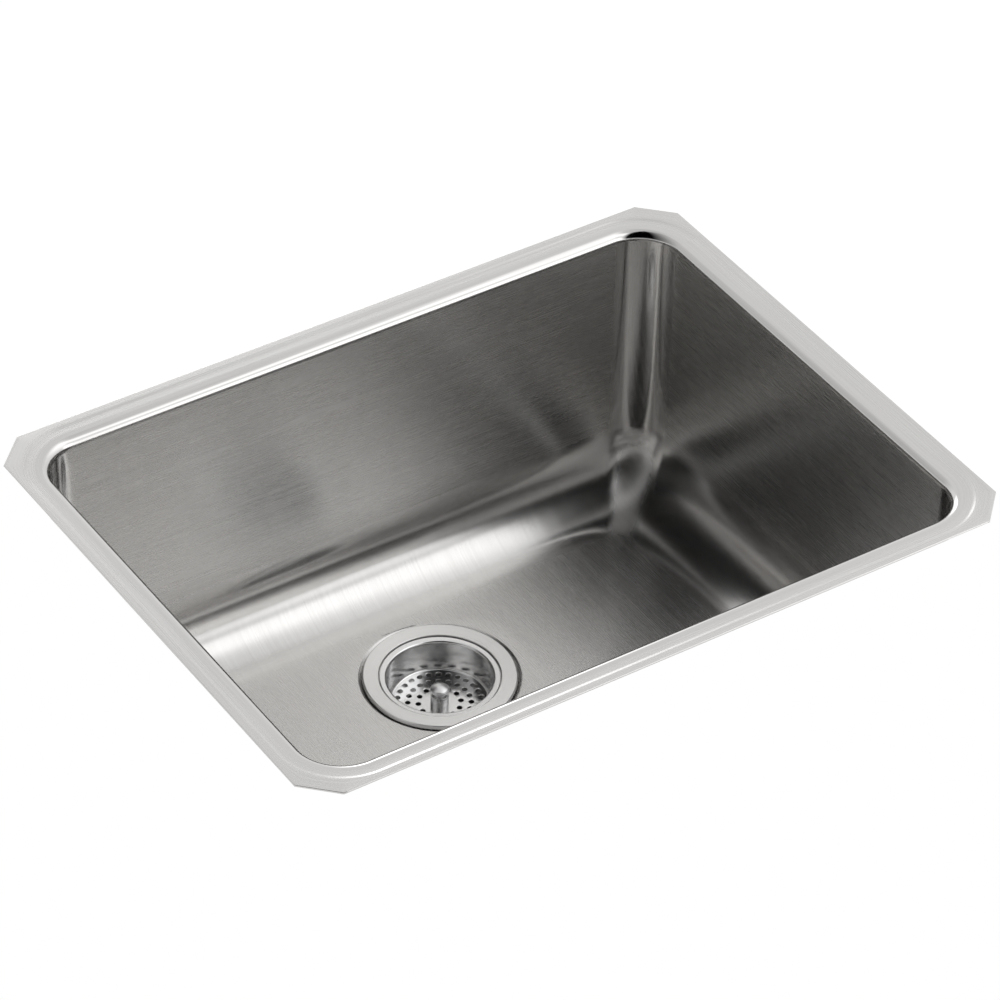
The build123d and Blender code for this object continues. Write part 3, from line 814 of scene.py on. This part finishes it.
strainer = dict(
    flangeThickness=3.8, flangeFall=0.6, seatRadius=46.2, seatDepth=2.8, seatFall=0.6,
    barrelRadius=44.0, barrelWall=2.3, barrelLength=32.6, barrelTaper=2.0,
    coneHeight=14.0, outletRadius=23.75, outletBore=20.5,
    threadPitch=2.2, threadDepth=0.7, threadGap=0.15,
)


# Strainer: its section turned about the drain's axis, with a thread on the barrel and the outlet.
def addStrainerBody():
    outletEnd, top = nodeHeights("strainer_body")
    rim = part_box("strainer_body")[1].x / mm
    under = top - strainer["flangeThickness"]
    barrelEnd = top - strainer["barrelLength"]
    outletTop = barrelEnd - strainer["coneHeight"]
    seat = top - strainer["seatDepth"]
    wall, barrel, outlet = strainer["barrelWall"], strainer["barrelRadius"], strainer["outletRadius"]
    bore = barrel - wall
    outline = roundedOutline(
        [
            (strainer["seatRadius"], top - strainer["flangeFall"]), (strainer["seatRadius"], seat),
            (bore, seat - strainer["seatFall"]), (bore - strainer["barrelTaper"], barrelEnd),
            (strainer["outletBore"], outletTop),
            (strainer["outletBore"], outletEnd), (outlet, outletEnd), (outlet, outletTop - wall),
            (barrel, barrelEnd - wall), (barrel, under), (rim, under), (rim, top),
        ],
        [0.6, 0.3, 0.6, 4, 1.5, 0.3, 0.5, 1.5, 3, 0.5, 0.5, 0.9],
    )
    step = strainer["threadPitch"] / 6
    outline = refineRun(outline, barrel, barrelEnd, under - 2, step)
    outline = refineRun(outline, outlet, outletEnd + 1, outletTop - wall - 2, step)

    # Crest to root and back once a pitch, running round the barrel and the outlet.
    def threaded(radius, height, turn):
        phase = height / strainer["threadPitch"] - turn / (2 * np.pi)
        groove = strainer["threadDepth"] * np.abs(2 * (phase - np.floor(phase)) - 1)
        onBarrel = (np.abs(radius - barrel) < 0.01) & (height < under - 3) & (height > barrelEnd)
        onOutlet = (np.abs(radius - outlet) < 0.01) & (height > outletEnd + 0.8)
        onOutlet &= height < outletTop - wall - 2.5
        return np.where(onBarrel | onOutlet, radius - groove, radius)

    slotName, node = "strainer_steel", "strainer_body"
    return addTurned("strainerBody", outline, 144, "sink", node, satinSteel, threaded)


# Ring about the drain's axis that fills its node's box down to an inner radius.
def addRing(name, node, inner, body, material, rounding, around=96):
    foot, top = nodeHeights(node)
    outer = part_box(node)[1].x / mm
    outline = roundedOutline([(inner, foot), (outer, foot), (outer, top), (inner, top)], rounding, 4)
    return addTurned(name, outline, around, body, node, material)


locknut = dict(collarRadius=50.0, footRadius=54.5, footHeight=4.0, lugs=8, lugWidth=11.0, lugRounding=2.5)


def addLocknut():
    foot, top = nodeHeights("strainer_locknut")
    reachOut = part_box("strainer_locknut")[1].x / mm
    bore = strainer["barrelRadius"] + strainer["threadGap"]
    collar, shoulder = locknut["collarRadius"], locknut["footRadius"]
    outline = roundedOutline(
        [
            (bore, foot), (collar, foot), (collar, top - locknut["footHeight"]),
            (shoulder, top - locknut["footHeight"]), (shoulder, top), (bore, top),
        ],
        [0.4, 0.8, 0.3, 0.8, 0.3, 0.4],
    )

    # The outer face steps out to a flat-topped lug once every share of the turn.
    def lugged(radius, height, turn):
        share = 2 * np.pi / locknut["lugs"]
        offset = np.abs((turn + share / 2) % share - share / 2)
        halfWidth = locknut["lugWidth"] / 2 / reachOut
        rise = np.clip((halfWidth - offset) / (locknut["lugRounding"] / reachOut) + 0.5, 0, 1)
        rise = rise * rise * (3 - 2 * rise)
        outside = radius > collar - 0.9
        return np.where(outside, radius + (reachOut - radius) * rise, radius)

    slotName, node = "cast_nut", "strainer_locknut"
    return addTurned("strainerLocknut", outline, 384, "sink", node, castPlating, lugged)


basket = dict(
    sheet=0.8, mouthRadius=40.3, floorRadius=38.0, bend=1.9, lipBend=2.0, rimFall=0.5, boreRadius=4.5,
    holeRadius=2.1, holeEdge=0.25, holeSides=20, rings=((32.1, 27), (24.0, 20), (16.2, 12)), turn=5.5,
    around=144, postRadius=6.9, stemRadius=4.4, spigotRadius=2.5, spigotDepth=4.1,
    knobEdge=2.0, neckRadius=4.2, neckHeight=3.6, grooveRadius=3.7, grooveGap=0.2,
)


# Closed circles of count points each about every centre, as (circles, count, 2).
def circlePoints(centres, radius, count):
    angle = np.arange(count) * 2 * np.pi / count
    return centres[:, None] + radius * np.stack([np.cos(angle), np.sin(angle)], axis=-1)


# Triangles between one outer ring and the circles inside it, by constrained Delaunay.
def plateFaces(outer, circles):
    rings = [outer] + list(circles)
    flat = np.concatenate(rings)
    edges, first = [], 0
    for ring in rings:
        index = first + np.arange(len(ring))
        edges.append(np.stack([index, np.roll(index, -1)], axis=-1))
        first += len(ring)
    edges = np.concatenate(edges)
    result = delaunay_2d_cdt([Vector(p) for p in flat], edges.tolist(), [], 1, 1e-6)
    points = np.array([tuple(p) for p in result[0]])
    faces = np.array(result[2])
    middle = points[faces].mean(axis=1)
    keep = np.ones(len(faces), dtype=bool)
    for circle in circles:
        centre = circle.mean(axis=0)
        radius = np.linalg.norm(circle[0] - centre)
        keep &= np.linalg.norm(middle - centre, axis=1) > radius * 0.99
    return points, faces[keep]


# Basket: a turned wall, a floor of two flat plates pierced by circles, and a short tube that joins
# the plates round each hole.
def addBasketCup():
    foot, top = nodeHeights("basket_cup")
    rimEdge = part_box("basket_cup")[1].x / mm
    sheet, floorTop = basket["sheet"], foot + basket["sheet"]
    fall = basket["rimFall"]
    plateEdge = basket["rings"][0][0] + basket["holeRadius"] + 2 * basket["holeEdge"]
    outline = roundedOutline(
        [
            (plateEdge, foot), (basket["floorRadius"] + sheet, foot),
            (basket["mouthRadius"] + sheet, top - sheet - fall), (rimEdge, top - sheet), (rimEdge, top),
            (basket["mouthRadius"], top - fall), (basket["floorRadius"], floorTop),
            (plateEdge, floorTop),
        ],
        [
            0, basket["bend"] + sheet, basket["lipBend"] - sheet, 0.3, 0.3,
            basket["lipBend"], basket["bend"], 0,
        ],
        8,
    )
    start = np.argmin(np.abs(outline[:, 0] - outline[0, 0]) + np.abs(outline[:, 1] - foot))
    outline = np.roll(outline, -start, 0)
    around = basket["around"]
    angle = np.arange(around) * 2 * np.pi / around
    radius, height = outline[:, :1], np.broadcast_to(outline[:, 1:2], (len(outline), around))
    wall = np.stack([radius * np.cos(angle), radius * np.sin(angle), height], axis=-1)

    centres = [np.zeros((1, 2))]
    for ringRadius, holes in basket["rings"]:
        turn = np.radians(basket["turn"]) + np.arange(holes) * 2 * np.pi / holes
        centres.append(ringRadius * np.stack([np.cos(turn), np.sin(turn)], axis=-1))
    holeCentres = np.concatenate(centres[1:])
    wide = np.concatenate([
        circlePoints(centres[0], basket["boreRadius"], basket["holeSides"]),
        circlePoints(holeCentres, basket["holeRadius"] + basket["holeEdge"], basket["holeSides"]),
    ])
    narrow = np.concatenate([wide[:1], circlePoints(holeCentres, basket["holeRadius"], basket["holeSides"])])
    plate, triangles = plateFaces(wall[0, :, :2], wide)

    work = bmesh.new()
    layer = work.loops.layers.uv.new("grain")

    def addPart(points, faces):
        verts = [work.verts.new(p) for p in points]
        return [work.faces.new([verts[k] for k in face]) for face in faces]

    wallFaces = gridFaces(len(outline), around, False)
    addPart(wall.reshape(-1, 3), wallFaces.tolist())
    addPart(np.column_stack([plate, np.full(len(plate), floorTop)]), triangles.tolist())
    addPart(np.column_stack([plate, np.full(len(plate), foot)]), triangles[:, ::-1].tolist())
    edge = basket["holeEdge"]
    levels = [(wide, floorTop), (narrow, floorTop - edge), (narrow, foot + edge * 0.6), (wide, foot)]
    sides = basket["holeSides"]
    tube = gridFaces(len(levels), sides, False)[:, ::-1]
    for hole in range(len(wide)):
        rings = [np.column_stack([circles[hole], np.full(sides, z)]) for circles, z in levels]
        addPart(np.concatenate(rings), tube.tolist())
    bmesh.ops.remove_doubles(work, verts=work.verts, dist=1e-4)
    bmesh.ops.recalc_face_normals(work, faces=work.faces)
    for face in work.faces:
        face.smooth = True
        for loop in face.loops:
            x, y, z = loop.vert.co
            flat = abs(face.normal.z) > 0.9
            arc = math.atan2(y, x) * basket["floorRadius"]
            loop[layer].uv = (y * mm, x * mm) if flat else (arc * mm, z * mm)
    toPlace = Matrix.Diagonal((mm, mm, mm, 1)) @ Matrix.Translation((*drainAxis, 0))
    bmesh.ops.transform(work, matrix=toPlace, verts=work.verts)
    mesh = bpy.data.meshes.new("basketCup")
    work.to_mesh(mesh)
    work.free()
    piece = linkMesh("basketCup", mesh, "basket", "basket_cup", polishedSteel)
    even = piece.modifiers.new("even", "WEIGHTED_NORMAL")
    even.keep_sharp = True
    return piece


def addBasketPost():
    foot, headTop = nodeHeights("basket_post")
    floorTop = nodeHeights("basket_cup")[0] + basket["sheet"]
    clipFoot, clipTop = nodeHeights("snap_clip")
    stem, groove = basket["stemRadius"], basket["grooveRadius"]
    grooveFoot, grooveTop = clipFoot - basket["grooveGap"], clipTop + basket["grooveGap"]
    outline = roundedOutline(
        [
            (0, foot), (stem, foot), (stem, grooveFoot), (groove, grooveFoot),
            (groove, grooveTop), (stem, grooveTop), (stem, floorTop),
            (basket["postRadius"], floorTop), (basket["postRadius"], headTop),
            (basket["spigotRadius"], headTop), (basket["spigotRadius"], headTop - basket["spigotDepth"]),
            (0, headTop - basket["spigotDepth"]),
        ],
        [0, 1, 0.1, 0.1, 0.1, 0.1, 0.1, 0.1, 0.5, 0.1, 0.1, 0], 5, 0.2,
    )
    return addTurned("basketPost", outline, 72, "basket", "basket_post", turnedSteel)


def addBasketKnob():
    foot, crown = nodeHeights("basket_knob")
    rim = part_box("basket_knob")[1].x / mm
    postTop = nodeHeights("basket_post")[1]
    edgeFoot = postTop + basket["neckHeight"]
    edgeTop = edgeFoot + basket["knobEdge"]
    dome = crown - edgeTop
    bulge = (rim ** 2 + dome ** 2) / (2 * dome)
    x = np.linspace(rim - 0.5, 0, 14)
    domeRows = np.column_stack([x, crown - bulge + np.sqrt(bulge ** 2 - x ** 2)])
    spigot, neck = basket["spigotRadius"] - 0.1, basket["neckRadius"]
    side = roundedOutline(
        [
            (0, foot), (spigot, foot), (spigot, postTop), (neck, postTop), (neck, edgeFoot), (rim, edgeFoot),
            (rim, edgeTop + 0.1), (rim - 0.6, edgeTop + 0.28),
        ],
        [0, 0.2, 0.1, 0.1, 0.4, 0.5, 0.5, 0], 5, 0.2,
    )
    start = np.argmin(side[:, 0] + np.abs(side[:, 1] - foot))
    side = np.roll(side, -start, 0)
    side = side[: np.argmax(side[:, 1]) + 1]
    outline = np.concatenate([side, domeRows])
    return addTurned("basketKnob", outline, 72, "basket", "basket_knob", knobSteel)


stopper = dict(footInset=4.1, lipHeight=3.0, topInset=1.5)


def addStopper():
    foot, top = nodeHeights("basket_stopper")
    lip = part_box("basket_stopper")[1].x / mm
    bore = basket["boreRadius"]
    outline = roundedOutline(
        [
            (bore, foot), (lip - stopper["footInset"], foot), (lip, foot + stopper["lipHeight"]),
            (lip - stopper["topInset"], top), (bore, top),
        ],
        [0.2, 0.6, 0.6, 0.6, 0.2],
    )
    slotName, node = "black_rubber", "basket_stopper"
    return addTurned("basketStopper", outline, 96, "basket", node, blackRubber)


# Limit for the radius that gives a nut its flats, as a function for addTurned.
def flatSided(flats, across):
    def reach(radius, height, turn):
        share = 2 * np.pi / flats
        limit = across / 2 / np.cos((turn + share / 2) % share - share / 2)
        return np.minimum(radius, limit)
    return reach


postNut = dict(flats=6, across=14.0, chamfer=0.9, chamferHeight=0.6)


def addPostNut():
    foot, top = nodeHeights("post_nut")
    flats, across, bore = postNut["flats"], postNut["across"], basket["boreRadius"]
    corner = across / 2 / math.cos(math.pi / flats)
    face, side = corner - postNut["chamfer"], postNut["chamferHeight"]
    outline = roundedOutline(
        [
            (bore, foot), (face, foot), (corner, foot + side),
            (corner, top - side), (face, top), (bore, top),
        ],
        0.2, 3, 0.15,
    )
    shape = flatSided(flats, across)
    return addTurned("postNut", outline, 120, "basket", "post_nut", turnedSteel, shape)


snapClip = dict(opening=2.6, sides=16, steps=64)


# Round wire bent to an open ring: a small circle carried along an arc, closed at both ends.
def addSnapClip():
    foot, top = nodeHeights("snap_clip")
    reachOut = (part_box("snap_clip")[1].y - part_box("snap_clip")[0].y) / mm / 2
    wire = (top - foot) / 2
    path = reachOut - wire
    sides = snapClip["sides"]
    turn = np.linspace(0, 2 * np.pi - snapClip["opening"] / path, snapClip["steps"])
    turn = np.concatenate([turn[:1], turn, turn[-1:]])
    width = np.full(len(turn), wire)
    width[[0, -1]] = 0
    around = np.arange(sides) * 2 * np.pi / sides
    radius = path + width[:, None] * np.cos(around)
    points = np.stack([
        drainAxis[0] + radius * np.cos(turn)[:, None], drainAxis[1] + radius * np.sin(turn)[:, None],
        (foot + top) / 2 - width[:, None] * np.sin(around),
    ], axis=-1)
    u, v = np.meshgrid(np.arange(sides + 1) * wire, np.arange(1, len(turn) + 1) * 0.5)
    uv = gridLoops(np.stack([v, u], axis=-1) * mm)
    mesh = newMesh("snapClip", points.reshape(-1, 3) * mm, gridFaces(len(turn), sides, False), uv)
    closePoles(mesh)
    return linkMesh("snapClip", mesh, "post_clip", "snap_clip", turnedSteel)


tail = dict(
    tubeRadius=19.05, wall=1.3, flangeThickness=1.5, nutAcross=57.0, nutFlats=8, nutFloor=3.0,
    nutGap=0.6, chamfer=2.2, chamferHeight=1.6,
)


def addTailpiece():
    foot, top = nodeHeights("tailpiece")
    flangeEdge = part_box("tailpiece")[1].x / mm
    tube, inner = tail["tubeRadius"], tail["tubeRadius"] - tail["wall"]
    under = top - tail["flangeThickness"]
    outline = roundedOutline(
        [(inner, foot), (tube, foot), (tube, under), (flangeEdge, under), (flangeEdge, top), (inner, top)],
        [0.3, 0.5, 0.4, 0.4, 0.4, 1.0],
    )
    return addTurned("tailpieceTube", outline, 96, "sink", "tailpiece", tubeChrome)


def addCouplingNut():
    foot, top = nodeHeights("coupling_nut")
    across = tail["nutAcross"]
    corner = across / 2 / math.cos(math.pi / tail["nutFlats"])
    bore, hole = strainer["outletRadius"] + strainer["threadGap"], tail["tubeRadius"] + tail["nutGap"]
    face, side, floor = corner - tail["chamfer"], tail["chamferHeight"], foot + tail["nutFloor"]
    outline = roundedOutline(
        [
            (hole, foot), (face, foot), (corner, foot + side), (corner, top - side), (face, top),
            (bore, top), (bore, floor), (hole, floor),
        ],
        [0.4, 0.6, 0.6, 0.6, 0.6, 0.5, 0.3, 0.3],
    )
    shape = flatSided(tail["nutFlats"], across)
    return addTurned("couplingNut", outline, 192, "sink", "coupling_nut", castPlating, shape)


padShape = dict(cornerRadius=12.0, edge=1.2, around=96)


# Rounded slab: a rounded outline grows out of the middle of the glued face, rises, shrinks over a
# rounded edge, and then runs in to the middle of the outer face.
def addPad(name, node):
    low, high = (np.array(corner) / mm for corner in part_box(node))
    size = high - low
    thin = int(np.argmin(size))
    across, upward = [axis for axis in range(3) if axis != thin]
    middle = (low + high) / 2
    half = size[[across, upward]] / 2
    radius, edge, thick = padShape["cornerRadius"], padShape["edge"], size[thin]
    perCorner = padShape["around"] // 4
    angle = (np.arange(4)[:, None] + np.linspace(0, 1, perCorner)) * math.pi / 2
    signs = np.array([(1, 1), (-1, 1), (-1, -1), (1, -1)])[:, None]
    centres = np.broadcast_to(signs * (half - radius), (4, perCorner, 2)).reshape(-1, 2)
    direction = np.stack([np.cos(angle), np.sin(angle)], axis=-1).reshape(-1, 2)
    bend = np.radians(np.linspace(0, 90, 7))
    rows = [(0.5, 0.0, share) for share in (0.0, 0.5, 1.0)]
    rows += [(0, 0.0, 1.0), (0, 0.3, 1.0)]
    rows += [(edge * (1 - math.cos(a)), thick - edge + edge * math.sin(a), 1.0) for a in bend]
    rows += [(edge + 0.5, thick, share) for share in (1.0, 0.75, 0.5, 0.25, 0.0)]
    outward = 1 if middle[thin] > 0 else -1
    faceAt = low[thin] if outward > 0 else high[thin]
    layers = []
    for inset, rise, share in rows:
        outline = (centres + direction * (radius - inset)) * share
        layer = np.empty((len(outline), 3))
        layer[:, across] = middle[across] + outline[:, 0]
        layer[:, upward] = middle[upward] + outline[:, 1]
        layer[:, thin] = faceAt + outward * rise
        layers.append(layer)
    points = np.stack(layers)
    mesh = newMesh(name, points.reshape(-1, 3) * mm, gridFaces(len(rows), len(direction), False))
    closePoles(mesh)
    work = bmesh.new()
    work.from_mesh(mesh)
    bmesh.ops.recalc_face_normals(work, faces=work.faces)
    work.to_mesh(mesh)
    work.free()
    return linkMesh(name, mesh, "sink", node, padRubber)


addBowl()
addStrainerBody()
overBarrel = strainer["barrelRadius"] + strainer["threadGap"]
addRing("flangeGasket", "flange_gasket", bowl["holeRadius"], "sink", blackRubber, 0.2)
addRing("rubberWasher", "rubber_washer", overBarrel, "sink", blackRubber, 0.6)
addRing("frictionRing", "friction_ring", overBarrel, "sink", pressedFibre, 0.2)
addRing("tailpieceWasher", "tailpiece_washer", strainer["outletBore"], "sink", whiteNylon, 0.4)
overPost = basket["boreRadius"]
addRing("postSpacer", "post_spacer", overPost, "basket", turnedSteel, 0.3, 64)
addRing("stopperWasher", "stopper_washer", overPost, "basket", turnedSteel, 0.2, 64)
addLocknut()
addBasketCup()
addBasketPost()
addBasketKnob()
addStopper()
addPostNut()
addSnapClip()
addTailpiece()
addCouplingNut()
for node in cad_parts:
    if node.startswith("pad_"):
        addPad("pad" + "".join(word.capitalize() for word in node.split("_")[1:]), node)
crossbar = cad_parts["strainer_crossbar"]
crossbar.data.materials.clear()
crossbar.data.materials.append(castPlating)

addFloor()
addTent()
addMask()
addWorld()
addLamps()
scene.view_settings.view_transform = "Standard"
print("scene ready")
